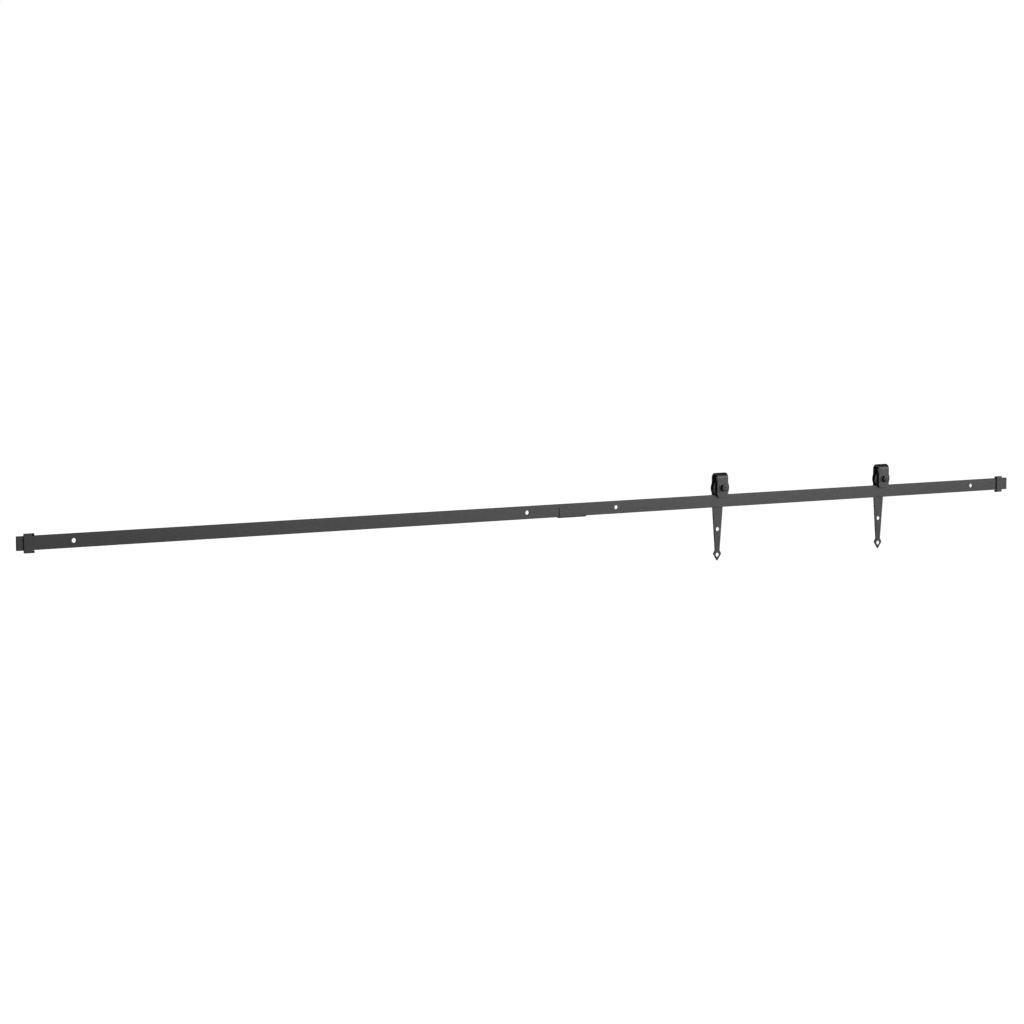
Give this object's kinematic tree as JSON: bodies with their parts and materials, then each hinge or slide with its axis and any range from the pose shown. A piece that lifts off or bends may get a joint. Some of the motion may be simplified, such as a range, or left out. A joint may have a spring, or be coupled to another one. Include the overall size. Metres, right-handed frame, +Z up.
{
  "type": "sliding barn door hardware",
  "caption": "Flat-rail sliding barn door hardware: a joined rail with end stops, and arrow-strap hangers that roll along it on grooved bearing wheels.",
  "frame": {"origin": "middle of the rail's wall-side face, at mid-length and mid-height, centred between the wall holes", "axes": "+X along the rail, to the right as seen from the room; +Y towards the wall; +Z up"},
  "size_m": [1.83, 0.029, 0.1436],
  "materials": {
    "powder_coat": "satin black powder coat with a fine texture",
    "black_oxide": "black oxide, slightly oily",
    "bright_steel": "ground bearing steel",
    "polished_steel": "polished bearing balls",
    "nylon": "turned black nylon",
    "rubber": "matt black rubber"
  },
  "bodies": {
    "track": {"rail_left": "powder_coat", "rail_right": "powder_coat", "rail_joiner": "powder_coat", "joiner_screws": "black_oxide", "left_stop": "powder_coat", "left_stop_bumper": "rubber", "left_stop_screw": "black_oxide", "right_stop": "powder_coat", "right_stop_bumper": "rubber", "right_stop_screw": "black_oxide"},
    "left_hanger": {"left_strap": "powder_coat", "left_axle_bolt": "black_oxide", "left_axle_nut": "black_oxide", "left_axle_washers": "black_oxide", "left_axle_spacers": "bright_steel", "left_bearing_inner_ring": "bright_steel"},
    "left_roller": {"left_wheel": "nylon", "left_bearing_outer_ring": "bright_steel", "left_bearing_shields": "bright_steel", "left_bearing_balls": "polished_steel", "left_bearing_cage": "bright_steel"},
    "right_hanger": {"right_strap": "powder_coat", "right_axle_bolt": "black_oxide", "right_axle_nut": "black_oxide", "right_axle_washers": "black_oxide", "right_axle_spacers": "bright_steel", "right_bearing_inner_ring": "bright_steel"},
    "right_roller": {"right_wheel": "nylon", "right_bearing_outer_ring": "bright_steel", "right_bearing_shields": "bright_steel", "right_bearing_balls": "polished_steel", "right_bearing_cage": "bright_steel"}
  },
  "joints": [
    {"name": "left_hanger_slide", "type": "slide", "parent": "track", "child": "left_hanger", "axis": [1, 0, 0], "range_m": [-0.2413, 1.1651]},
    {"name": "right_hanger_slide", "type": "slide", "parent": "track", "child": "right_hanger", "axis": [1, 0, 0], "range_m": [-0.2413, 1.1651]},
    {"name": "left_wheel_spin", "type": "hinge", "parent": "left_hanger", "child": "left_roller", "pos_m": [-0.6295, -0.0025, 0.021], "axis": [0, 1, 0], "continuous": true},
    {"name": "right_wheel_spin", "type": "hinge", "parent": "right_hanger", "child": "right_roller", "pos_m": [-0.2893, -0.0025, 0.021], "axis": [0, 1, 0], "continuous": true}
  ],
  "couplings": [
    {"joint": "right_hanger_slide", "follows": "left_hanger_slide", "ratio": 1},
    {"joint": "left_wheel_spin", "follows": "left_hanger_slide", "rad_per_m": 92.166},
    {"joint": "right_wheel_spin", "follows": "left_hanger_slide", "rad_per_m": 92.166}
  ]
}
